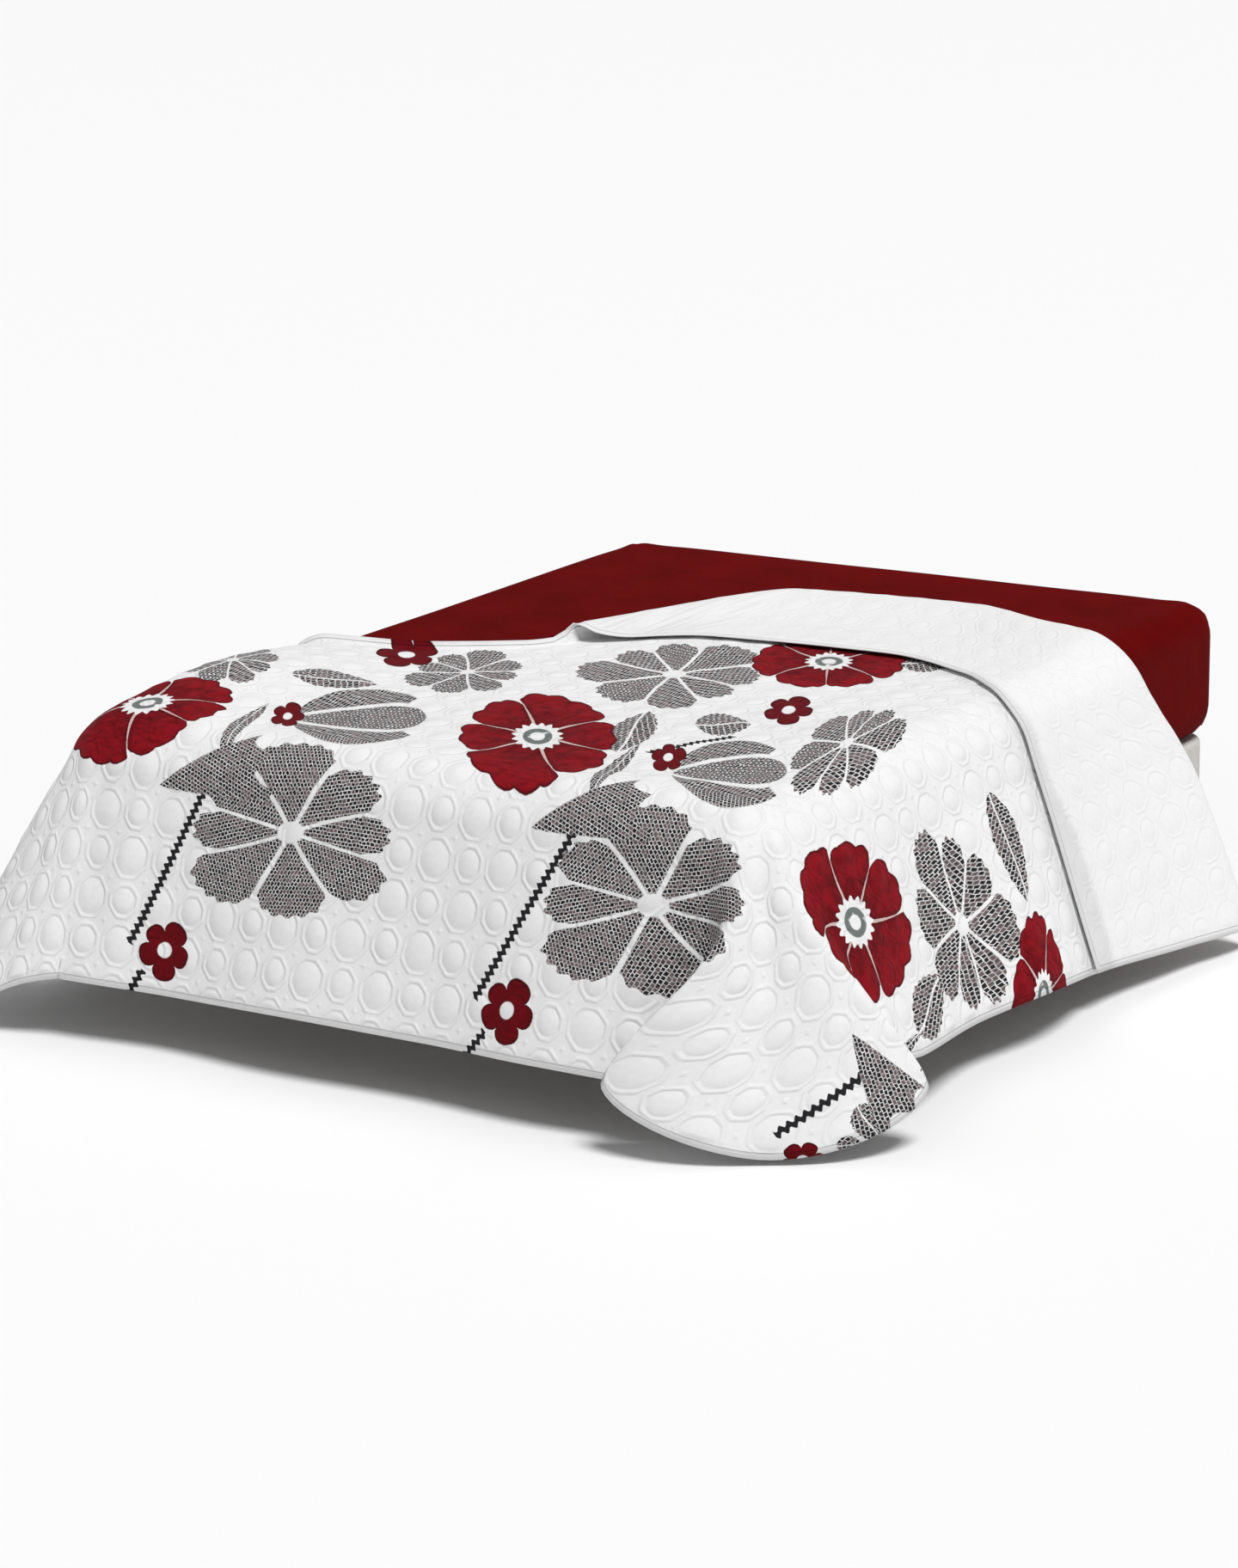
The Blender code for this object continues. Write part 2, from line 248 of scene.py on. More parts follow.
def makeQuilting():
    given, result = newGroup("quiltedCircles", [("Place", vectorSocket)],
                             [("Height", floatSocket), ("Seam", floatSocket)])
    wander = vectorCalc("SUBTRACT", noise(given["Place"], 9.0, 1.0, 1), (0.5, 0.5, 0.5))
    reach = (quilting["waver"], quilting["waver"], 0.0)
    cloth = vectorCalc("MULTIPLY_ADD", wander, reach, given["Place"])
    cells = vectorCalc("MULTIPLY", cloth, (1 / quilting["pitchAcross"], 1 / quilting["pitchAlong"], 0.0))
    column, row = splitVector(vectorCalc("FLOOR", cells))
    parity = calc("FLOORED_MODULO", plus(column, row), 2.0)
    inside = vectorCalc("ADD", vectorCalc("FRACTION", cells), (-0.5, -0.5, 0.0))
    inside = vectorCalc("ABSOLUTE", vectorCalc("MULTIPLY", inside, (1.0, 1.0, 0.0)))
    away = lengthOf(inside)
    x, y = splitVector(inside)
    slanted = times(plus(x, y), 0.74)
    outline = calc("MAXIMUM", calc("MAXIMUM", x, y), slanted)
    outline = timesPlus(minus(outline, away), quilting["eightSided"], away)
    corner = plus(*splitVector(vectorCalc("SUBTRACT", (0.5, 0.5, 0.0), inside)))
    radius = timesPlus(parity, quilting["bigPuff"] - quilting["smallPuff"], quilting["smallPuff"])
    share = calc("MINIMUM", calc("DIVIDE", away, radius), 1.0)
    puff = minus(1.0, calc("POWER", share, quilting["dome"]))
    ringPlace = absolute(minus(minus(outline, radius), quilting["ringGap"]))
    ring = times(ramp(ringPlace, quilting["ring"], 0.0), 0.5)
    small = times(ramp(corner, quilting["cornerPuff"], 0.0), 0.4)
    height = calc("SMOOTH_MAX", calc("SMOOTH_MAX", puff, ring, 0.10), small, 0.10)
    # some puffs are fuller than others, and the stitches pucker the cloth
    height = times(height, timesPlus(noise(given["Place"], 14.0, 1.0), 0.9, 0.5))
    height = timesPlus(noise(given["Place"], 55.0, 3.0), 0.16, height)
    line = absolute(minus(minus(away, radius), quilting["seam"]))
    return finishGroup(result, Height=height, Seam=ramp(line, 0.022, 0.0))


quiltedCircles = makeQuilting()


# printed flowers, all drawn by formula in the flat cloth's own metres

printed = {
    "red": (0.235, 0.003, 0.009),
    "deepRed": (0.110, 0.001, 0.004),
    "darkRed": (0.135, 0.001, 0.005),
    "redRim": (0.050, 0.001, 0.003),
    "pale": (0.66, 0.50, 0.48),
    "white": (0.785, 0.785, 0.785),
    "black": (0.016, 0.016, 0.018),
    "brown": (0.125, 0.095, 0.095),
    "grey": (0.430, 0.415, 0.415),
    "paleGrey": (0.740, 0.725, 0.725),
    "dash": 0.0088,          # metres, length of a printed dash
    "rowShare": 0.8,         # a row's height, as a share of that length
    "ragged": 0.6,           # how far a dash strays, in dashes
    "longer": 0.38,          # scale of the dashes' count along the bed, on the top and the sides
    "bleed": 0.0020,         # metres, how far the ink strays from its outline
    "edge": 0.006,           # softness of a flower's outline, as a share of its half size
}

# each motif's place on the flat cloth, its half sizes along and square to its turn (degrees), and, for a
# flower, the spin of its petals
redFlowers = dict(
    across=(-0.675, 0.126, 0.313, 1.024, 1.320, -1.120, -1.090),
    along=(-0.943, -0.750, 0.065, -0.885, -0.344, -0.620, 0.130),
    turn=(18, 36, 28, 94, 147, 100, 80),
    wide=(0.176, 0.160, 0.160, 0.226, 0.176, 0.165, 0.160),
    long=(0.164, 0.345, 0.247, 0.158, 0.092, 0.150, 0.150),
    spin=(0.2, 0.0, 1.1, 2.0, 0.6, 1.4, 0.9))
smallFlowers = dict(
    across=(-0.396, -0.480, 0.435, 0.337, -0.495, 0.450, 1.276, -1.180),
    along=(-0.854, -1.443, -0.771, -1.443, -0.300, -0.340, -1.362, -1.020),
    turn=(32, 9, 29, 8, 32, 26, 40, 80),
    wide=(0.037, 0.066, 0.037, 0.066, 0.072, 0.054, 0.040, 0.064),
    long=(0.098, 0.063, 0.105, 0.067, 0.125, 0.130, 0.038, 0.064),
    spin=(0.0, 0.4, 0.9, 0.3, 0.7, 0.2, 1.3, 0.5))
greyFlowers = dict(
    across=(-0.690, -0.215, 0.602, -0.295, 0.089, 0.693, 1.122, -1.080),
    along=(-0.640, -1.180, -1.207, -0.367, -0.181, -0.540, -0.500, -0.280),
    turn=(32, 7, 10, 28, 28, 16, 3, 95),
    wide=(0.116, 0.290, 0.280, 0.140, 0.219, 0.097, 0.215, 0.210),
    long=(0.190, 0.190, 0.190, 0.219, 0.321, 0.350, 0.172, 0.180),
    spin=(0.5, 0.0, 0.0, 0.3, 0.8, 1.2, 0.4, 0.9))
leaves = dict(
    across=(-0.465, 0.398, 0.270, 0.495, 1.031, 1.301, 1.308, 1.280, 1.225, -1.020, 0.385, -0.440),
    along=(-0.598, -0.505, -0.632, 0.155, -0.267, -1.245, -1.291, -0.950, -0.716, -0.900, -0.880, -0.940),
    turn=(32, 32, 110, 30, -7, -14, 44, 96, 111, 60, 106, 104),
    wide=(0.088, 0.055, 0.160, 0.060, 0.114, 0.039, 0.022, 0.170, 0.096, 0.100, 0.170, 0.130),
    long=(0.060, 0.100, 0.050, 0.095, 0.056, 0.028, 0.017, 0.016, 0.055, 0.050, 0.020, 0.020))
calyxes = dict(
    across=(-0.420, 0.438, 1.252),
    along=(-1.090, -1.065, -1.180),
    turn=(205, 207, 182),
    wide=(0.130, 0.122, 0.094),
    long=(0.085, 0.085, 0.064))
buds = dict(
    across=(-0.265, 0.593),
    along=(-0.790, -0.807),
    turn=(32, 30),
    wide=(0.135, 0.110),
    long=(0.265, 0.265))
stems = dict(
    across=(-0.433, -0.523, 0.420, 0.296, 1.232, 0.380),
    along=(-1.130, -1.489, -1.100, -1.489, -1.199, -0.760),
    endAcross=(-0.564, -0.549, 0.255, 0.252, 1.208, 0.470),
    endAlong=(-1.440, -1.540, -1.430, -1.545, -1.364, -0.580))


def makeHatch():
    # rows of short printed dashes in black, brown and grey
    given, result = newGroup("stitchedHatch", [("Place", vectorSocket), ("Angle", floatSocket)],
                             [("Color", colourSocket)])
    tree = treeOf(given["Place"])
    size = printed["dash"]
    stray = addNode(tree, "ShaderNodeTexNoise", {"Vector": given["Place"], "Scale": 70.0, "Detail": 1.0},
                    noise_dimensions="2D").outputs["Color"]
    stray = vectorCalc("SUBTRACT", stray, (0.5, 0.5, 0.5))
    stray = vectorCalc("MULTIPLY", stray, (printed["ragged"], printed["ragged"], 0.0))
    cells = rotated(given["Place"], given["Angle"])
    cells = vectorCalc("MULTIPLY", cells, (1 / size, 1 / (size * printed["rowShare"]), 0.0))
    column, row = splitVector(vectorCalc("ADD", cells, stray))
    rowNumber = calc("FLOOR", row)
    column = timesPlus(calc("MODULO", rowNumber, 2.0), 0.5, column)
    inColumn = absolute(minus(calc("FRACT", column), 0.5))
    inRow = absolute(minus(calc("FRACT", row), 0.5))
    dash = times(ramp(inColumn, 0.45, 0.37), ramp(inRow, 0.43, 0.35))
    dashPlace = flatPoint(calc("FLOOR", column), rowNumber)
    pick = addNode(tree, "ShaderNodeTexWhiteNoise", {"Vector": dashPlace}, noise_dimensions="2D").outputs[0]
    pick = plus(times(pick, 0.75), times(noise(given["Place"], 22.0, 1.0), 0.4))
    dark = mixColour(ramp(pick, 0.62, 0.74), printed["black"], printed["brown"])
    ground = mixColour(ramp(pick, 0.35, 0.75), printed["paleGrey"], printed["grey"])
    return finishGroup(result, Color=mixColour(dash, ground, dark))


stitchedHatch = makeHatch()


def hatched(cloth, angle):
    return useGroup(stitchedHatch, Place=cloth, Angle=angle)["Color"]


# lengths in these are shares of the flower's half size
redPetals = {
    "count": 6,
    "swirl": 0.22,           # how far the petals lean round the middle
    "reach": 0.955,
    "scallops": 9.5,
    "scallopDepth": 0.045,
    "darkRim": 0.045,
    "middle": 0.285,
    "teeth": 16.0,
    "ring": 0.135,
    "ringGrey": (0.15, 0.17, 0.165),
}
smallPetals = {"count": 5, "swirl": 0.10, "reach": 0.97, "darkRim": 0.14, "hole": 0.22}
greyPetals = {"count": 8, "swirl": 0.16, "reach": 1.0, "teeth": 44.0, "toothDepth": 0.018, "gap": 0.012,
              "hole": 0.10}


def petalPlaces(place, petals):
    # angle and distance from the flower's middle, petal number, and place from the petal's line to its edge
    x, y = splitVector(place)
    distance = lengthOf(place)
    angle = calc("ARCTAN2", y, x)
    lean = times(sine(timesPlus(angle, 2.0, 0.7)), times(distance, petals["swirl"]))
    turns = times(plus(angle, lean), petals["count"] / (2 * math.pi))
    number = calc("ROUND", turns)
    toEdge = times(absolute(minus(turns, number)), 2.0)
    return angle, distance, calc("FLOORED_MODULO", number, float(petals["count"])), toEdge


def petalGap(toEdge, distance, petals):
    # distance to the line between two petals
    return times(times(minus(1.0, toEdge), math.pi / petals["count"]), distance)


def makeRedFlower():
    given, result = newMotif("redFlower")
    angle, distance, number, toEdge = petalPlaces(given["Place"], redPetals)
    chance = randomValue(number)
    notch = times(calc("POWER", toEdge, 7.0), timesPlus(chance, 0.12, 0.10))
    scallop = absolute(sine(times(angle, redPetals["scallops"])))
    reach = timesPlus(chance, -0.07, redPetals["reach"])
    reach = plus(reach, times(scallop, redPetals["scallopDepth"]))
    uneven = times(minus(noise(given["Place"], 5.0, 1.0), 0.5), 0.10)
    inside = minus(plus(minus(reach, notch), uneven), distance)
    mask = ramp(inside, -printed["edge"], printed["edge"])
    # petals: deeper towards the middle, darker at the rim, pale lines between them
    veins = noise(vectorCalc("MULTIPLY", given["Cloth"], (1.0, 2.2, 0.0)), 38.0, 3.0)
    tone = plus(times(veins, 0.9), times(distance, 0.35))
    colour = mixColour(ramp(tone, 0.42, 0.88), printed["deepRed"], printed["red"])
    colour = mixColour(ramp(inside, redPetals["darkRim"], 0.0), colour, printed["redRim"])
    gap = petalGap(toEdge, distance, redPetals)
    colour = mixColour(times(ramp(gap, 0.075, 0.01), 0.55), colour, printed["redRim"])
    width = timesPlus(ramp(distance, 0.75, 0.3), 0.012, 0.006)
    colour = mixColour(times(calc("LESS_THAN", gap, width), 0.85), colour, printed["pale"])
    # toothed white middle with a grey ring
    teeth = timesPlus(sine(times(angle, redPetals["teeth"])), 0.028, redPetals["middle"])
    colour = mixColour(ramp(minus(teeth, distance), -0.008, 0.008), colour, printed["white"])
    ringPlace = absolute(minus(distance, redPetals["ring"]))
    ring = times(ramp(ringPlace, 0.052, 0.036), ramp(veins, 0.30, 0.42))
    colour = mixColour(ring, colour, redPetals["ringGrey"])
    return finishGroup(result, Mask=mask, Color=colour)


def makeSmallFlower():
    given, result = newMotif("smallFlower")
    angle, distance, number, toEdge = petalPlaces(given["Place"], smallPetals)
    reach = timesPlus(calc("POWER", toEdge, 3.0), -0.30, smallPetals["reach"])
    inside = minus(timesPlus(randomValue(number), -0.10, reach), distance)
    hole = ramp(distance, smallPetals["hole"], smallPetals["hole"] + 0.05)
    mask = times(ramp(inside, -0.02, 0.02), hole)
    veins = noise(given["Cloth"], 45.0, 2.0)
    colour = mixColour(ramp(veins, 0.35, 0.7), printed["deepRed"], printed["darkRed"])
    colour = mixColour(ramp(inside, smallPetals["darkRim"], 0.0), colour, printed["redRim"])
    return finishGroup(result, Mask=mask, Color=colour)


def makeGreyFlower():
    given, result = newMotif("greyFlower")
    angle, distance, number, toEdge = petalPlaces(given["Place"], greyPetals)
    chance = randomValue(plus(number, 3.3))
    reach = timesPlus(calc("POWER", toEdge, 3.0), -0.22, greyPetals["reach"])
    reach = timesPlus(chance, -0.22, reach)
    teeth = times(sine(times(angle, greyPetals["teeth"])), greyPetals["toothDepth"])
    inside = minus(plus(reach, teeth), distance)
    gap = petalGap(toEdge, distance, greyPetals)
    mask = times(ramp(inside, -printed["edge"], printed["edge"]), ramp(gap, greyPetals["gap"], 0.024))
    mask = times(mask, ramp(distance, greyPetals["hole"], 0.12))
    return finishGroup(result, Mask=mask, Color=hatched(given["Cloth"], times(chance, math.pi)))


def makeLeaf():
    # widest past the stalk, pointed at the tip, with fine teeth and a bent rib
    given, result = newMotif("hatchedLeaf")
    x, y = splitVector(given["Place"])
    width = calc("POWER", calc("MAXIMUM", times(minus(1.0, x), plus(x, 1.0)), 0.0), 0.75)
    width = times(width, timesPlus(x, -0.28, 0.92))
    teeth = times(sine(times(x, 26.0)), 0.04)
    width = timesPlus(teeth, ramp(width, 0.1, 0.3), width)
    inside = minus(minus(width, 0.02), absolute(y))
    bend = times(sine(times(x, 2.4)), 0.12)
    rib = absolute(minus(y, bend))
    mask = times(ramp(inside, -0.02, 0.02), ramp(rib, 0.03, 0.07))
    angle = timesPlus(calc("GREATER_THAN", y, 0.0), 1.1, 0.5)
    return finishGroup(result, Mask=mask, Color=hatched(given["Cloth"], angle))


def makeCalyx():
    # a hatched cup that narrows to a point, with a wavy wide end
    given, result = newMotif("hatchedCalyx")
    x, y = splitVector(given["Place"])
    width = times(calc("POWER", calc("MAXIMUM", minus(1.0, x), 0.0), 0.8), 0.56)
    inside = minus(width, absolute(timesPlus(x, 0.22, y)))
    wave = times(absolute(sine(times(y, 3.4))), 0.30)
    openEnd = plus(minus(x, wave), 1.0)
    mask = times(ramp(inside, 0.0, 0.04), ramp(openEnd, -0.02, 0.02))
    return finishGroup(result, Mask=mask, Color=hatched(given["Cloth"], 0.35))


def makeBud():
    # a plain closed bud: a middle petal between two that wrap round it, in rows of dashes
    given, result = newMotif("hatchedBud")
    x, y = splitVector(given["Place"])
    width = calc("POWER", calc("MAXIMUM", timesPlus(times(x, x), -1.0, 1.0), 0.0), 0.5)
    width = times(width, timesPlus(x, 0.10, 0.88))
    inside = minus(minus(width, 0.02), absolute(y))
    tips = absolute(sine(timesPlus(y, 3.5, math.pi / 2)))
    top = minus(timesPlus(tips, 0.30, 0.66), x)
    bow = times(width, timesPlus(x, 0.16, 0.44))
    seam = absolute(minus(absolute(y), bow))
    mask = times(ramp(inside, -0.01, 0.02), ramp(top, -0.02, 0.02))
    mask = times(mask, ramp(seam, 0.03, 0.06))
    angle = timesPlus(calc("LESS_THAN", absolute(y), bow), 0.9, 1.1)
    return finishGroup(result, Mask=mask, Color=hatched(given["Cloth"], angle))


stemLine = {
    "wave": 0.0040,          # metres
    "period": 0.0150,
    "bow": 0.004,
    "width": 0.0078,
}


def makeStem():
    # a wavy line between two points
    given, result = newGroup("wavyStem", [("Cloth", vectorSocket), ("Middle", vectorSocket),
                                          ("Turn", floatSocket), ("Reach", floatSocket)],
                             [("Mask", floatSocket)])
    place = vectorCalc("SUBTRACT", given["Cloth"], given["Middle"])
    x, y = splitVector(rotated(place, times(given["Turn"], -1.0)))
    bow = times(sine(times(x, 9.0)), stemLine["bow"])
    wave = times(sine(times(x, 2 * math.pi / stemLine["period"])), stemLine["wave"])
    away = absolute(minus(minus(y, bow), wave))
    line = ramp(away, stemLine["width"], stemLine["width"] - 0.002)
    ends = calc("LESS_THAN", absolute(x), given["Reach"])
    return finishGroup(result, Mask=times(line, ends))


def nearestMotif(cloth, table):
    # each motif's own coordinates, taken from whichever motif of the kind is nearest
    best, place = None, None
    for across, along, turn, wide, long, *spin in zip(*table.values()):
        sockets = {"Vector": cloth, "Location": (across, along, 0.0), "Scale": (wide, long, 1.0),
                   "Rotation": (0.0, 0.0, math.radians(turn))}
        own = addNode(treeOf(cloth), "ShaderNodeMapping", sockets, vector_type="TEXTURE").outputs[0]
        if any(spin):
            own = rotated(own, spin[0])
        away = lengthOf(own)
        if best is None:
            best, place = away, own
            continue
        closer = calc("LESS_THAN", away, best)
        best = calc("MINIMUM", away, best)
        place = mixVector(closer, place, own)
    return place


def makePrint():
    given, result = newGroup("floralPrint", [("Cloth", vectorSocket)],
                             [("Color", colourSocket), ("Ink", floatSocket)])
    cloth = vectorCalc("MULTIPLY", given["Cloth"], (1.0, 1.0, 0.0))
    # dashes are drawn longer along the bed, as the flowers are
    across, along = splitVector(cloth)
    beyond = calc("MAXIMUM", plus(along, halfLength), 0.0)
    drawn = flatPoint(across, timesPlus(beyond, printed["longer"] - 1.0, along))
    bleed = (printed["bleed"], printed["bleed"], 0.0)
    soft = vectorCalc("MULTIPLY_ADD", noise(cloth, 160.0, 1.0, 1), bleed, cloth)
    stemGroup = makeStem()
    ink = None
    for startAcross, startAlong, endAcross, endAlong in zip(*stems.values()):
        start = Vector((startAcross, startAlong, 0.0))
        end = Vector((endAcross, endAlong, 0.0))
        run = end - start
        mask = useGroup(stemGroup, Cloth=soft, Middle=(start + end) / 2,
                        Turn=math.atan2(run.y, run.x), Reach=run.length / 2)["Mask"]
        ink = mask if ink is None else calc("MAXIMUM", ink, mask)
    colour = mixColour(ink, printed["white"], printed["black"])
    for makeMotif, table in ((makeLeaf, leaves), (makeGreyFlower, greyFlowers), (makeCalyx, calyxes),
                             (makeBud, buds), (makeRedFlower, redFlowers), (makeSmallFlower, smallFlowers)):
        motif = useGroup(makeMotif(), Place=nearestMotif(soft, table), Cloth=drawn)
        colour = mixColour(motif["Mask"], colour, motif["Color"])
        ink = calc("MAXIMUM", ink, motif["Mask"])
    return finishGroup(result, Color=colour, Ink=ink)


# what the quilt is made of

quiltFinish = {
    "roughness": 0.88,
    "sheen": 0.015,
    "sheenRoughness": 0.5,
    "gloss": 0.10,
    "bump": 0.0034,          # metres from groove to puff, felt by the light only
    "reverseBump": 0.0016,
    "thread": 0.0011,
    "threadBump": 0.00012,
    "hem": 0.010,            # metres, width of the smooth hem
    "hemStitch": 0.011,      # metres from the edge to the hem's line of stitches
}


def quiltMaterial(name, printGroup, relief):
    material, tree, shader = newMaterial(name)
    cloth = addNode(tree, "ShaderNodeUVMap", uv_map="cloth").outputs[0]
    hem = addNode(tree, "ShaderNodeAttribute", attribute_name="hem").outputs["Fac"]
    # painted shade and shadow along the turned-back edge, read from the mesh
    shade = addNode(tree, "ShaderNodeAttribute", attribute_name="shade").outputs["Fac"]
    puffs = useGroup(quiltedCircles, Place=cloth)
    threads = useGroup(weave, Place=cloth, Thread=quiltFinish["thread"])
    colour = printed["white"]
    rough = timesPlus(threads["Tint"], 0.12, quiltFinish["roughness"] - 0.06)
    if printGroup:
        flowers = useGroup(printGroup, Cloth=cloth)
        colour = flowers["Color"]
        rough = timesPlus(flowers["Ink"], -0.05, rough)
    # seams and stitches sit a little darker, worn threads a little paler
    tone = timesPlus(puffs["Seam"], -0.035, 1.0)
    tone = timesPlus(minus(threads["Tint"], 0.5), 0.10, tone)
    stitch = ramp(absolute(minus(hem, quiltFinish["hemStitch"])), 0.0016, 0.0006)
    tone = timesPlus(stitch, -0.18, tone)
    tone = timesPlus(minus(noise(cloth, 2.2, 2.0), 0.5), 0.05, tone)
    height = times(puffs["Height"], ramp(hem, quiltFinish["hem"], 0.024))
    hemPuff = times(ramp(hem, 0.0, quiltFinish["hem"]), timesPlus(stitch, -0.6, 0.3))
    normal = reliefs(tree, {"Height": plus(height, hemPuff), "Distance": relief},
                     {"Height": threads["Height"], "Distance": quiltFinish["threadBump"]})
    # the base colour is darkened by the painted shade
    fillSockets(shader, {"Base Color": scaled(colour, minus(tone, shade)), "Roughness": rough,
                         "Sheen Weight": quiltFinish["sheen"],
                         "Sheen Roughness": quiltFinish["sheenRoughness"],
                         "Specular IOR Level": quiltFinish["gloss"], "Normal": normal})
    return material


printedSide = quiltMaterial("quiltPrinted", makePrint(), quiltFinish["bump"])
plainSide = quiltMaterial("quiltReverse", None, quiltFinish["reverseBump"])
print("quilt materials made")


# how the cloth lies, row by row of folds, in degrees and metres

quilt = {
    "middle": 0.0049,        # of the sheet, over the mattress
    "halfThickness": 0.0033,
    "thinEdge": 0.30,        # of that thickness, at the hem's own edge
    "thinReach": 0.020,
    "puffReach": 0.030,      # puffs are full this far from the hem
    "creasesAbove": 0.05,    # over the floor
    "bendLength": 0.15,      # of cloth, over the mattress edge
    "cornerCut": 0.26,       # radius of the rounded corners
    "leanEnd": 0.30,         # the cloth leans out fully this far past the edge
    "foldStart": 0.20,
    "cornerDrop": 0.58,
    "plainFlare": 20.0,
    "turnRadius": 0.020,     # of the roll where the head end is turned back
    "turnSettle": 0.22,
    "tipLength": 0.030,
    "restingHeight": 0.013,
    "rollShare": 0.8,
    "plainEdge": 0.045,      # a shorter turned end than this shows no reverse
    "cell": 0.0122,          # of the mesh
    "topRows": 112,
    "rollRows": 7,
    "turnedRows": 42,
    "fanCells": 66,
}

# where the head end is turned back (crease) and where its edge then lies (free), by place across the bed
headEnd = dict(
    at=(-0.72, -0.32, 0.00, 0.40, 0.62, 0.80, 1.02, 1.38),
    crease=(-0.27, -0.11, 0.49, 0.53, 0.45, 0.41, 0.47, 0.44),
    free=(-0.27, -0.11, 0.12, 0.15, 0.07, -0.06, -0.075, -0.10))
# the drops' folds, by place along their edge or share of the corner: how far the cloth leans out, which way it
# falls, and how long it is, or what the hem is trimmed by
leftSide = dict(
    at=(-0.96, -0.74, -0.58, -0.40, -0.15, 0.50),
    flare=(10, 21, 18, 23, 19, 19),
    turn=(78, 87, 93, 88, 90, 90),
    drop=(0.58, 0.58, 0.58, 0.58, 0.59, 0.59))
foot = dict(
    at=(-0.71, -0.45, -0.15, 0.15, 0.42, 0.58, 0.71),
    flare=(21, 18, 20.5, 19, 21, 19, 9),
    turn=(0, 2, -1, 0, 0, 3, 12),
    drop=(0.58, 0.575, 0.575, 0.575, 0.58, 0.58, 0.58))
rightSide = dict(
    at=(-0.96, -0.80, -0.55, -0.30, -0.05, 0.25, 0.52),
    flare=(26, 24, 20, 24.5, 21, 24, 25),
    turn=(93, 88, 90, 90, 90, 90, 90),
    drop=(0.58, 0.595, 0.60, 0.615, 0.635, 0.675, 0.705))
rightCorner = dict(
    at=(0.00, 0.10, 0.30, 0.50, 0.74, 0.90, 1.00),
    flare=(9, 13, 28, 19, 31, 26, 26),
    turn=(12, 28, -21, 35, 92, 92, 93),
    trim=(0, 0, -0.050, -0.022, 0.006, -0.080, 0))
leftCorner = dict(
    at=(0.00, 0.30, 0.55, 0.74, 0.88, 1.00),
    flare=(21, 25, 30, 24, 14, 10),
    turn=(0, 22, 54, 96, 66, 78),
    trim=(0, -0.015, -0.070, -0.040, 0, 0))
# low swells of the cloth on top of the bed
mounds = dict(
    across=(-0.66, 0.30, -0.12, 0.66, -0.20, 0.48),
    along=(-0.66, -0.62, -0.45, -0.45, -1.00, -1.00),
    reachAcross=(0.34, 0.30, 0.26, 0.22, 0.45, 0.30),
    reachAlong=(0.50, 0.26, 0.34, 0.40, 0.20, 0.18),
    height=(0.042, 0.006, 0.005, 0.010, 0.008, 0.012))
# soft creases, listed one by one: middle, direction in degrees, half length, half width, and height, which is
# below 0 for a trough
creases = dict(
    across=(0.66, 0.40, -0.55, -0.30, 0.78, 0.92, -0.10, 0.55, -0.60, -0.68),
    along=(-0.86, -0.90, -0.95, -0.72, -0.55, -0.25, -1.30, -0.20, -1.28, -1.25),
    turn=(38, 15, -35, 10, 80, 86, 88, 60, 84, 96),
    length=(0.22, 0.30, 0.26, 0.35, 0.30, 0.30, 0.22, 0.30, 0.30, 0.28),
    width=(0.040, 0.050, 0.045, 0.060, 0.040, 0.035, 0.050, 0.045, 0.030, 0.028),
    height=(0.004, -0.003, 0.004, -0.003, 0.003, -0.003, 0.003, 0.003, 0.006, -0.005))
# painted shade along the turned-back layer's free edge: the width of the darkened strip on the drop, and how
# much darker it makes the turned-back layer (upper) and the layer under it (lower)
paintedEdgeShade = {
    "width": 0.060,          # metres, of the shaded strip along the free edge on the drop
    "upper": 0.15,
    "lower": 0.22,
}


def ease(value):
    value = np.clip(value, 0.0, 1.0)
    return value * value * (3.0 - 2.0 * value)


def curve(table, column, at):
    # smooth curve through a table's rows that levels out at each crest and hollow
    x = np.array(table["at"], float)
    y = np.array(table[column], float)
    rise = (y[1:] - y[:-1]) / (x[1:] - x[:-1])
    slope = np.zeros(len(x))
    product = rise[:-1] * rise[1:]
    steady = product > 0
    slope[1:-1][steady] = 2 * product[steady] / (rise[:-1] + rise[1:])[steady]
    at = np.clip(at, x[0], x[-1])
    first = np.clip(np.searchsorted(x, at), 1, len(x) - 1) - 1
    width = x[first + 1] - x[first]
    share = (at - x[first]) / width
    bow = share * (1 - share) * width
    return (y[first] + (y[first + 1] - y[first]) * ease(share)
            + bow * (1 - share) * slope[first] - bow * share * slope[first + 1])


def cutReach(table, angle):
    # length of cloth from the bed's corner to the rounded cut corner
    trim = curve(table, "trim", angle / (math.pi / 2))
    straight = quilt["cornerDrop"] - quilt["cornerCut"]
    lean = np.minimum(angle, math.pi / 2 - angle)
    middle = np.cos(angle) + np.sin(angle)
    spread = np.cos(angle) - np.sin(angle)
    rounded = straight * middle + np.sqrt(np.maximum(0, quilt["cornerCut"] ** 2 - (straight * spread) ** 2))
    plain = quilt["cornerDrop"] / np.cos(lean)
    return np.where(np.tan(lean) < straight / quilt["cornerDrop"], plain, rounded) + trim


def moundHeight(across, along):
    height = np.zeros_like(across)
    for x, y, reachX, reachY, top in zip(*mounds.values()):
        height += top * ease(1.0 - np.hypot((across - x) / reachX, (along - y) / reachY))
    return height


def creaseHeight(across, along):
    height = np.zeros_like(across)
    for x, y, turn, length, width, top in zip(*creases.values()):
        angle = math.radians(turn)
        run = (across - x) * math.cos(angle) + (along - y) * math.sin(angle)
        away = -(across - x) * math.sin(angle) + (along - y) * math.cos(angle)
        away += 0.12 * run * run / length                       # slightly bowed
        height += top * np.exp(-(away / width) ** 2) * ease(1.0 - np.abs(run) / length)
    return height


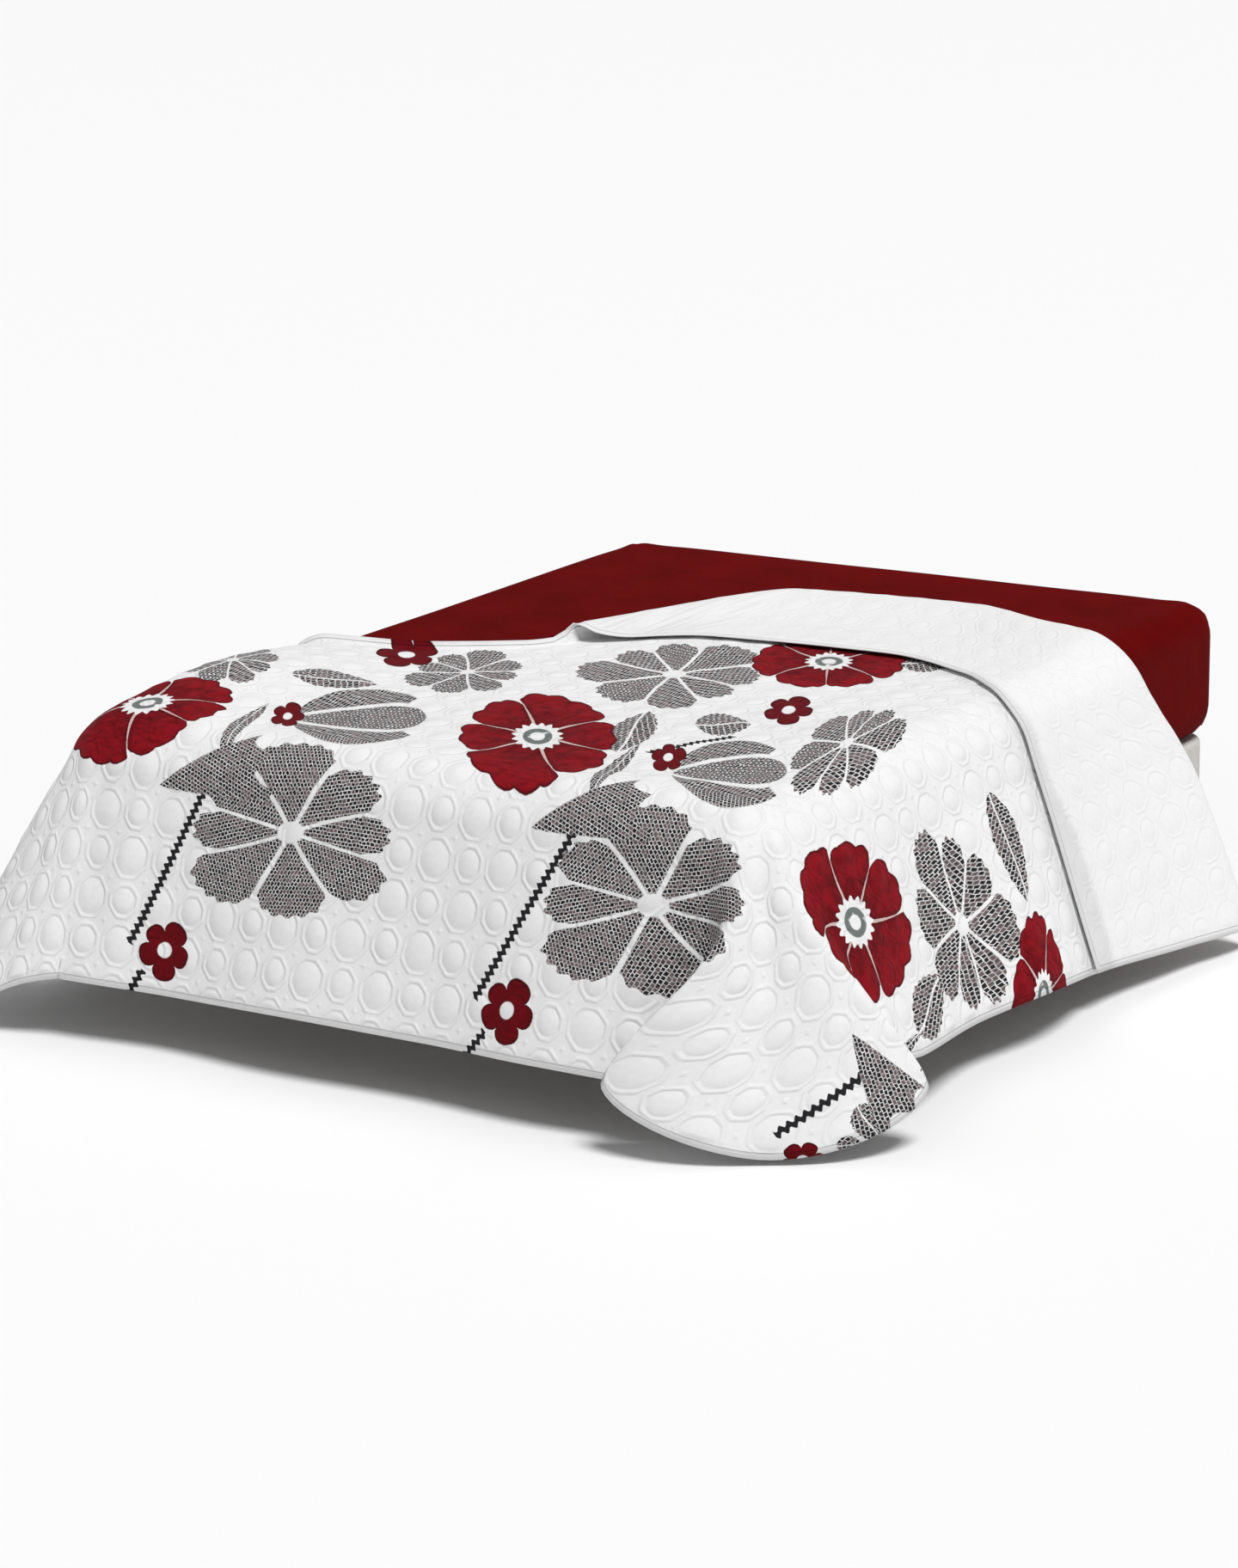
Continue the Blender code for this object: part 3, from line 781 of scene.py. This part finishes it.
def drape(across, along):
    # middle of the cloth in the room, from flat places of the cloth
    across = np.asarray(across, float)
    along = np.asarray(along, float)
    side = np.where(across > 0, 1.0, -1.0)
    pastSide = np.abs(across) - halfWidth
    pastFoot = -along - halfLength
    onSide, onFoot = pastSide > 0, pastFoot > 0
    distance = np.hypot(np.maximum(pastSide, 0), np.maximum(pastFoot, 0))
    angle = np.arctan2(np.maximum(pastSide, 0), np.maximum(pastFoot, 1e-12))
    share = angle / (math.pi / 2)
    reach = np.full_like(distance, quilt["cornerDrop"])
    flare = np.full_like(distance, quilt["plainFlare"])
    turn = np.zeros_like(distance)
    plainTurn = 90.0 * np.where(onSide & onFoot, share, onSide)
    for zone, table, at in ((onFoot & ~onSide, foot, across),
                            (onSide & ~onFoot & (side > 0), rightSide, along),
                            (onSide & ~onFoot & (side < 0), leftSide, along)):
        reach[zone] = curve(table, "drop", at[zone])
        flare[zone] = curve(table, "flare", at[zone])
        turn[zone] = curve(table, "turn", at[zone])
    turn[onFoot & ~onSide & (side < 0)] *= -1.0      # folds lean to the left there
    onCorner = onFoot & onSide
    for zone, table in ((onCorner & (side > 0), rightCorner), (onCorner & (side < 0), leftCorner)):
        reach[zone] = cutReach(table, angle[zone])
        flare[zone] = curve(table, "flare", share[zone])
        turn[zone] = curve(table, "turn", share[zone])
    swung = ease((distance - quilt["foldStart"]) / (reach - quilt["foldStart"]))
    flare = quilt["plainFlare"] + (flare - quilt["plainFlare"]) * ease(distance / quilt["leanEnd"])
    turn = np.radians(plainTurn + (turn - plainTurn) * swung)
    steep = math.pi / 2 - np.radians(flare)
    radius = quilt["bendLength"] / steep
    bend = np.minimum(distance, quilt["bendLength"]) / radius
    free = np.maximum(0.0, distance - quilt["bendLength"])
    out = radius * np.sin(bend) + free * np.cos(steep)
    down = radius * (1.0 - np.cos(bend)) + free * np.sin(steep)
    x = np.where(onSide, side * halfWidth, across) + side * np.sin(turn) * out
    y = np.where(onFoot, -halfLength, along) - np.cos(turn) * out
    hanging = onSide | onFoot
    x = np.where(hanging, x, across)
    y = np.where(hanging, y, along)
    z = bed["top"] + quilt["middle"] + moundHeight(across, along) - np.where(hanging, down, 0.0)
    return np.stack([x, y, z], -1)


def outward(across, along):
    # which way the printed side faces
    step = 0.004
    over = drape(across + step, along) - drape(across - step, along)
    up = drape(across, along + step) - drape(across, along - step)
    normal = np.cross(over, up)
    return normal / np.linalg.norm(normal, axis=-1, keepdims=True)


def creaseLine(across):
    # where the cloth turns back, and the length that is turned back there
    line = curve(headEnd, "crease", across)
    depth = line - curve(headEnd, "free", across)
    roll = math.pi * quilt["turnRadius"]
    length = depth + roll * ease(depth / (2 * roll))
    return line - quilt["tipLength"] * (1.0 - ease(depth / roll)), np.maximum(quilt["tipLength"], length)


def turnedBack(past, length):
    # how far back, and how high over the cloth below, a point past the crease lies
    roll = np.minimum(math.pi * quilt["turnRadius"], quilt["rollShare"] * length)
    turn = roll / quilt["turnRadius"]
    bent = np.minimum(past, roll) / quilt["turnRadius"]
    free = np.maximum(0.0, past - roll)
    step = quilt["turnRadius"] * np.sin(bent) + free * np.cos(turn)
    height = quilt["turnRadius"] * (1.0 - np.cos(bent)) + free * np.sin(turn)
    settled = ease(free / quilt["turnSettle"]) * ease(length / quilt["turnSettle"])
    return step, height + (quilt["restingHeight"] - height) * settled


def quiltPuff(across, along):
    # the soft dome of each puff, the part of it that the mesh can hold
    column, row = across / quilting["pitchAcross"], along / quilting["pitchAlong"]
    parity = (np.floor(column) + np.floor(row)) % 2
    away = np.hypot(column % 1 - 0.5, row % 1 - 0.5)
    radius = quilting["smallPuff"] + (quilting["bigPuff"] - quilting["smallPuff"]) * parity
    return quilting["relief"] * ease((radius * 1.15 - away) / (radius * 1.1))


def sheetGrid():
    # flat place, room place and distance to the hem of every point of the main sheet
    cell = quilt["cell"]
    hangCells = round(quilt["cornerDrop"] / cell)
    topCells = round(2 * halfWidth / cell)
    topRows, rollRows, turnedRows = quilt["topRows"], quilt["rollRows"], quilt["turnedRows"]
    # on top a column's value is its place across, and past the edges its share of the drop
    value = np.concatenate([1 - np.arange(hangCells) / hangCells,
                            np.linspace(-halfWidth, halfWidth, topCells + 1),
                            (np.arange(hangCells) + 1) / hangCells])
    zone = np.concatenate([-np.ones(hangCells), np.zeros(topCells + 1), np.ones(hangCells)])
    placeAcross = np.where(zone == 0, value, zone * (halfWidth + value * quilt["cornerDrop"]))
    line, length = creaseLine(placeAcross)

    def acrossAt(along):
        right = halfWidth + value * curve(rightSide, "drop", along)
        left = -halfWidth - value * curve(leftSide, "drop", along)
        return np.where(zone > 0, right, np.where(zone < 0, left, value))

    flat, room, hem = [], [], []
    farFromHem = 9.0
    sideHem = np.where(zone == 0, farFromHem, (1 - value) * quilt["cornerDrop"])
    for row in range(hangCells):
        share = 1 - row / hangCells
        across = np.clip(placeAcross, -halfWidth, halfWidth)
        drop = curve(foot, "drop", across)
        along = -halfLength - share * drop
        flat.append((across, along))
        room.append(drape(across, along))
        hem.append((1 - share) * drop)
    for row in range(topRows + 1):
        along = -halfLength + (line + halfLength) * row / topRows
        across = acrossAt(along)
        flat.append((across, along))
        room.append(drape(across, along))
        hem.append(np.minimum(sideHem, length + line - along))
    roll = np.minimum(math.pi * quilt["turnRadius"], quilt["rollShare"] * length)
    for row in range(1, rollRows + turnedRows + 1):
        past = roll * row / rollRows
        if row > rollRows:
            past = roll + (length - roll) * (row - rollRows) / turnedRows
        step, height = turnedBack(past, length)
        along = line + step
        across = acrossAt(along)
        flat.append((across, line + past))
        room.append(drape(across, along) + outward(across, along) * height[:, None])
        hem.append(np.minimum(sideHem, length - past))
    flat = np.array([np.stack(pair, -1) for pair in flat])
    return flat, np.array(room), np.array(hem), hangCells, topCells


def quads(grid):
    # the four corners of every cell of a grid of point numbers
    return np.stack([grid[:-1, :-1], grid[:-1, 1:], grid[1:, 1:], grid[1:, :-1]], -1)


def buildSheet():
    # flat places, room places, hem distances and faces of the whole sheet, corners included
    flat, room, hem, hangCells, topCells = sheetGrid()
    rows, columns = flat.shape[:2]
    number = np.arange(rows * columns).reshape(rows, columns)
    flats, rooms, hems = [flat.reshape(-1, 2)], [room.reshape(-1, 3)], [hem.reshape(-1)]
    keep = np.ones((rows - 1, columns - 1), bool)
    keep[:hangCells, :hangCells] = False
    keep[:hangCells, hangCells + topCells:] = False
    faces = quads(number)[keep].tolist()
    used = rows * columns
    fanCells = quilt["fanCells"]
    for table, side in ((rightCorner, 1.0), (leftCorner, -1.0)):
        # a fan of cloth about the bed's corner, joined to the foot and to the side
        inner = hangCells + topCells if side > 0 else hangCells
        fan = np.zeros((fanCells + 1, hangCells + 1), int)
        fan[0] = number[hangCells::-1, inner]
        fan[-1] = number[hangCells, inner + int(side) * np.arange(hangCells + 1)]
        fan[:, 0] = number[hangCells, inner]
        free = fan[1:-1, 1:]
        free[...] = used + np.arange(free.size).reshape(free.shape)
        used += free.size
        angle = np.linspace(0, math.pi / 2, fanCells + 1)[1:-1, None]
        share = np.arange(1, hangCells + 1)[None, :] / hangCells
        reach = cutReach(table, angle)
        across = side * (halfWidth + share * reach * np.sin(angle))
        along = -halfLength - share * reach * np.cos(angle)
        cloth = drape(across, along)
        # the folds take cloth from each other, so the quilting keeps an even size round the corner
        joined = np.concatenate([rooms[0][fan[:1, 1:]], cloth, rooms[0][fan[-1:, 1:]]])
        run = np.cumsum(np.linalg.norm(np.diff(joined, axis=0), axis=-1), axis=0)
        even = run[:-1] / run[-1:] * math.pi / 2
        angle = angle + (even - angle) * ease(share * 1.6)
        across = side * (halfWidth + share * reach * np.sin(angle))
        along = -halfLength - share * reach * np.cos(angle)
        flats.append(np.stack([across, along], -1).reshape(-1, 2))
        rooms.append(cloth.reshape(-1, 3))
        hems.append(((1 - share) * reach).reshape(-1))
        cells = quads(fan).reshape(-1, 4)
        if side < 0:
            cells = cells[:, ::-1]
        # the cells at the fan's point have three corners
        faces += [list(dict.fromkeys(cell)) for cell in cells.tolist()]
    return np.concatenate(flats), np.concatenate(rooms), np.concatenate(hems), faces


def edgeShade(across, along):
    # painted shade: the turned-back layer is darkened near its free edge, where it rises, and the layer under
    # it is darkened next to that edge as a painted shadow
    line, length = creaseLine(across)
    inward = line + length - along
    width = paintedEdgeShade["width"] * ease((across - 0.60) / 0.50)
    strip = paintedEdgeShade["upper"] * (1.0 - ease((inward - width) / 0.022)) * ease((across - 0.55) / 0.25)
    strip = np.where((along > line) & (length > 0.06), strip, 0.0)
    # painted shadow on the layer under the free edge, fading away from it
    below = curve(headEnd, "free", across) - along
    shadeBelowEdge = paintedEdgeShade["lower"] * np.exp(-np.maximum(below, 0.0) / 0.020) * ease((across - 0.30) / 0.30)
    return np.where((below > 0) & (along < line), shadeBelowEdge, strip)


def vertexNormals(points, faces):
    total = np.zeros_like(points)
    # a three-cornered face counts its first corner twice
    corners = np.array([face if len(face) == 4 else face + [face[0]] for face in faces]).T
    normal = np.cross(points[corners[2]] - points[corners[0]], points[corners[3]] - points[corners[1]])
    for corner in corners:
        np.add.at(total, corner, normal)
    length = np.linalg.norm(total, axis=1, keepdims=True)
    return total / np.where(length > 0, length, 1.0)


def openEdges(faces):
    # edges that only one face has
    seen = {}
    for face in faces:
        for start, end in zip(face, face[1:] + face[:1]):
            if (end, start) in seen:
                del seen[(end, start)]
            else:
                seen[(start, end)] = True
    return list(seen)


def makeQuilt():
    flat, room, hem, faces = buildSheet()
    normal = vertexNormals(room, faces)
    across, along = flat[:, 0], flat[:, 1]
    # creases and puffs stand off on the printed side; the hem thins out to a soft rounded edge
    away = normal * creaseHeight(across, along)[:, None]
    away[room[:, 2] < quilt["creasesAbove"]] = 0.0
    room = room + away
    rim = quilt["thinEdge"] + (1.0 - quilt["thinEdge"]) * ease(hem / quilt["thinReach"])
    puff = quiltPuff(across, along) * ease(hem / quilt["puffReach"])
    front = room + normal * (quilt["halfThickness"] * rim + puff)[:, None]
    back = room - normal * (quilt["halfThickness"] * rim + puff * 0.5)[:, None]
    count = len(room)
    edges = openEdges(faces)
    allFaces = list(faces) + [[v + count for v in reversed(face)] for face in faces]
    allFaces += [[end, start, start + count, end + count] for start, end in edges]
    # points that no face uses are left out
    used = np.unique(np.concatenate(faces))
    place = np.full(2 * count, -1)
    place[used] = np.arange(len(used))
    place[used + count] = np.arange(len(used)) + len(used)
    points = np.concatenate([front[used], back[used]])
    clean = [place[face].tolist() for face in allFaces]
    mesh = bpy.data.meshes.new("quilt")
    mesh.from_pydata(points.tolist(), [], clean)
    mesh.materials.append(printedSide)
    mesh.materials.append(plainSide)
    # where nothing is turned back the print runs round the edge
    line, length = creaseLine(across)
    edging = (along > line - 0.01) & (length < quilt["plainEdge"])
    slots = np.zeros(len(clean), int)
    slots[len(faces):2 * len(faces)] = [0 if edging[face].all() else 1 for face in faces]
    mesh.polygons.foreach_set("material_index", slots)
    uv = mesh.uv_layers.new(name="cloth")
    loops = np.zeros(len(mesh.loops), int)
    mesh.loops.foreach_get("vertex_index", loops)
    both = np.concatenate([flat[used], flat[used]])
    uv.data.foreach_set("uv", both[loops].astype(np.float32).ravel())
    # the painted shade along the turned-back edge is stored on the points, next to the hem distance
    shade = edgeShade(across, along)
    for name, values in (("hem", hem), ("shade", shade)):
        attribute = mesh.attributes.new(name, "FLOAT", "POINT")
        attribute.data.foreach_set("value", np.concatenate([values[used], values[used]]).astype(np.float32))
    mesh.update()
    mesh.shade_smooth()
    made = addObject("printedQuilt", mesh)
    area = 0.0
    for face in faces:
        x, y = flat[face].T
        area += abs(np.dot(x, np.roll(y, -1)) - np.dot(y, np.roll(x, -1))) / 2
    width, length = np.ptp(flat[used], axis=0)
    print(f"quilt: {len(clean)} faces, cut from {width:.2f} by {length:.2f} m, {area:.2f} square metres")
    return made, (float(width), float(length)), float(area)


printedQuilt, flatSize, flatArea = makeQuilt()


# mattress in its red fitted sheet

mattress = {
    "corner": 0.075,
    "edge": 0.065,
    "voxel": 0.013,
    "red": (0.132, 0.0015, 0.002),
    "deepRed": (0.096, 0.001, 0.001),
    "thread": 0.0009,
    "threadBump": 0.00012,
    "sheen": 0.005,
    "gloss": 0.02,
    "crumple": 0.006,
    "dent": 0.0035,          # metres, deepest wrinkle
    "gatherPitch": 0.028,
    "gatherHeight": 0.10,    # metres over the bottom edge, where the gathers end
    "cornerReach": 0.16,
}


def fittedSheetMaterial():
    material, tree, shader = newMaterial("fittedSheet")
    place = addNode(tree, "ShaderNodeTexCoord").outputs["Object"]
    threads = useGroup(weave, Place=place, Thread=mattress["thread"])
    tone = plus(times(noise(place, 7.0, 3.0), 0.7), times(threads["Tint"], 0.3))
    colour = mixColour(ramp(tone, 0.30, 0.72), mattress["deepRed"], mattress["red"])
    crumple = {"Height": noise(place, 11.0, 4.0), "Distance": mattress["crumple"], "Strength": 0.5}
    normal = reliefs(tree, crumple, {"Height": threads["Height"], "Distance": mattress["threadBump"]})
    fillSockets(shader, {"Base Color": colour, "Roughness": timesPlus(threads["Tint"], 0.15, 0.70),
                         "Sheen Weight": mattress["sheen"], "Specular IOR Level": mattress["gloss"],
                         "Normal": normal})
    return material


def roundedBlock(name, size, centre, corner, edge):
    # a block with round upright corners, and rounded rims where its sides meet top and bottom
    shape = bmesh.new()
    bmesh.ops.create_cube(shape, size=1.0)
    bmesh.ops.scale(shape, vec=size, verts=shape.verts)
    upright = [e for e in shape.edges if abs(e.verts[0].co.z - e.verts[1].co.z) > size[2] / 2]
    bmesh.ops.bevel(shape, geom=upright, offset=corner, offset_type="OFFSET", segments=8, profile=0.5,
                    affect="EDGES")
    level = [e for e in shape.edges if abs(e.verts[0].co.z - e.verts[1].co.z) < 0.001]
    rims = [e for e in level if abs(e.link_faces[0].normal.z - e.link_faces[1].normal.z) > 0.5]
    bmesh.ops.bevel(shape, geom=rims, offset=edge, offset_type="OFFSET", segments=6, profile=0.5,
                    affect="EDGES")
    bmesh.ops.translate(shape, vec=centre, verts=shape.verts)
    mesh = bpy.data.meshes.new(name)
    shape.to_mesh(mesh)
    shape.free()
    return addObject(name, mesh)


def applyModifiers(piece):
    graph = bpy.context.evaluated_depsgraph_get()
    mesh = bpy.data.meshes.new_from_object(piece.evaluated_get(graph))
    piece.modifiers.clear()
    piece.data = mesh


def vertexValues(mesh, name):
    values = np.zeros(len(mesh.vertices) * 3)
    mesh.vertices.foreach_get(name, values)
    return values.reshape(-1, 3)


def makeMattress():
    size = (bed["width"], bed["length"], bed["mattressHeight"])
    made = roundedBlock("fittedMattress", size, (0, 0, bed["top"] - size[2] / 2), mattress["corner"],
                        mattress["edge"])
    remesh = made.modifiers.new("even cells", "REMESH")
    remesh.mode = "VOXEL"
    remesh.voxel_size = mattress["voxel"]
    applyModifiers(made)
    mesh = made.data
    points, normals = vertexValues(mesh, "co"), vertexValues(mesh, "normal")
    x, y, z = points.T
    cornerX, cornerY = np.abs(x) - size[0] / 2, np.abs(y) - size[1] / 2
    nearCorner = np.exp(-(np.hypot(cornerX, cornerY) / mattress["cornerReach"]) ** 2)
    low = ease((bed["top"] - size[2] + mattress["gatherHeight"] - z) / 0.09)
    around = np.where(np.abs(normals[:, 0]) > np.abs(normals[:, 1]), y, x)
    pitch = around / mattress["gatherPitch"] * 2 * math.pi
    gathers = 0.5 + 0.5 * np.sin(pitch + 3.0 * np.sin(around * 7.0))
    pulls = 0.5 + 0.5 * np.sin(np.arctan2(cornerY, cornerX) * 14.0 + 5.0 * z)
    swells = np.sin(x * 9.0 + 2.0 * np.sin(y * 5.0)) + np.sin(y * 8.0 + 1.7 * np.sin(x * 6.0 + 1.0))
    depth = 0.9 * low * gathers + 0.9 * nearCorner * pulls + 0.35 * (0.5 + 0.25 * swells)
    points = points - normals * mattress["dent"] * np.minimum(depth, 1.2)[:, None]
    mesh.vertices.foreach_set("co", points.astype(np.float32).ravel())
    mesh.update()
    mesh.shade_smooth()
    mesh.materials.clear()
    mesh.materials.append(fittedSheetMaterial())
    print("mattress:", len(mesh.polygons), "faces")
    return made


fittedMattress = makeMattress()


# base of the bed

base = {
    "cloth": (0.62, 0.60, 0.57),
    "shade": (0.50, 0.48, 0.455),
    "thread": 0.0022,
    "threadBump": 0.0005,
    "gloss": 0.25,
}


def baseMaterial():
    material, tree, shader = newMaterial("baseCover")
    place = addNode(tree, "ShaderNodeTexCoord").outputs["Object"]
    # slanted, so that threads show on the sides and on the top alike
    slanted = addNode(tree, "ShaderNodeMapping", {"Vector": place, "Rotation": (0.6, 0.5, 0.4)}).outputs[0]
    threads = useGroup(weave, Place=slanted, Thread=base["thread"])
    tone = plus(times(noise(place, 5.0, 4.0), 0.6), times(threads["Tint"], 0.4))
    colour = mixColour(ramp(tone, 0.30, 0.70), base["shade"], base["cloth"])
    sockets = {"Height": threads["Height"], "Distance": base["threadBump"], "Strength": 0.8}
    fillSockets(shader, {"Base Color": colour, "Roughness": timesPlus(threads["Tint"], 0.12, 0.80),
                         "Specular IOR Level": base["gloss"],
                         "Normal": addNode(tree, "ShaderNodeBump", sockets).outputs[0]})
    return material


coverMaterial = baseMaterial()
for name in ("bed_platform", "bed_plinth"):
    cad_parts[name].material_slots[0].material = coverMaterial


# each made piece takes the place of its solid
for piece, nodeName, slotName in ((printedQuilt, "quilt", "quilted_cotton"),
                                  (fittedMattress, "mattress", "fitted_sheet")):
    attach(piece, "root")
    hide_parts(nodeName)


# pale floor, soft light and the camera

room = {
    "floor": (0.88, 0.88, 0.88),
    "floorReach": 60.0,
    "floorHeight": -0.0005,
    "floorRoughness": 0.9,
    "world": 0.33,
    "keyPower": 2.7,
    "keyFrom": (0.38, -0.14, 0.915),
    "keySpread": 22.0,       # degrees, wide for soft shadows
}
view = {
    "place": (4.628, -7.569, 2.672),
    "yaw": -32.35,           # degrees
    "pitch": 14.82,
    "roll": -1.06,
    "lens": 100.0,
    "sensor": 36.0,
    "farthest": 200.0,
}


def makeFloor():
    reach = room["floorReach"]
    mesh = bpy.data.meshes.new("floor")
    mesh.from_pydata([(-reach, -reach, 0), (reach, -reach, 0), (reach, reach, 0), (-reach, reach, 0)], [],
                     [(0, 1, 2, 3)])
    material, tree, shader = newMaterial("floor")
    fillSockets(shader, {"Base Color": (*room["floor"], 1.0), "Roughness": room["floorRoughness"]})
    mesh.materials.append(material)
    made = addObject("floor", mesh)
    made.location.z = room["floorHeight"]


def makeLight():
    light = bpy.data.lights.new("key", "SUN")
    light.angle = math.radians(room["keySpread"])
    light.energy = room["keyPower"]
    made = addObject("key", light)
    made.location = Vector(room["keyFrom"]) * 8.0
    made.rotation_euler = Vector(room["keyFrom"]).to_track_quat("Z", "Y").to_euler()


def makeCamera():
    camera = bpy.data.cameras.new("camera")
    camera.lens = view["lens"]
    camera.sensor_width = view["sensor"]
    camera.clip_end = view["farthest"]
    made = addObject("camera", camera)
    yaw, pitch, roll = (math.radians(view[name]) for name in ("yaw", "pitch", "roll"))
    forward = Vector((math.sin(yaw) * math.cos(pitch), math.cos(yaw) * math.cos(pitch), -math.sin(pitch)))
    right = Vector((math.cos(yaw), -math.sin(yaw), 0.0))
    up = right.cross(forward)
    tiltedRight = right * math.cos(roll) + up * math.sin(roll)
    tiltedUp = up * math.cos(roll) - right * math.sin(roll)
    turn = Matrix((tiltedRight, tiltedUp, -forward)).transposed().to_4x4()
    made.matrix_world = Matrix.Translation(view["place"]) @ turn
    bpy.context.scene.camera = made


makeFloor()
makeLight()
makeCamera()

world = bpy.data.worlds.new("studio")
world.use_nodes = True
fillSockets(world.node_tree.nodes["Background"], {"Color": (1.0, 1.0, 1.0, 1.0), "Strength": room["world"]})
bpy.context.scene.world = world
bpy.context.scene.view_settings.view_transform = "Standard"
bpy.context.scene.view_settings.look = "None"
print("room ready")
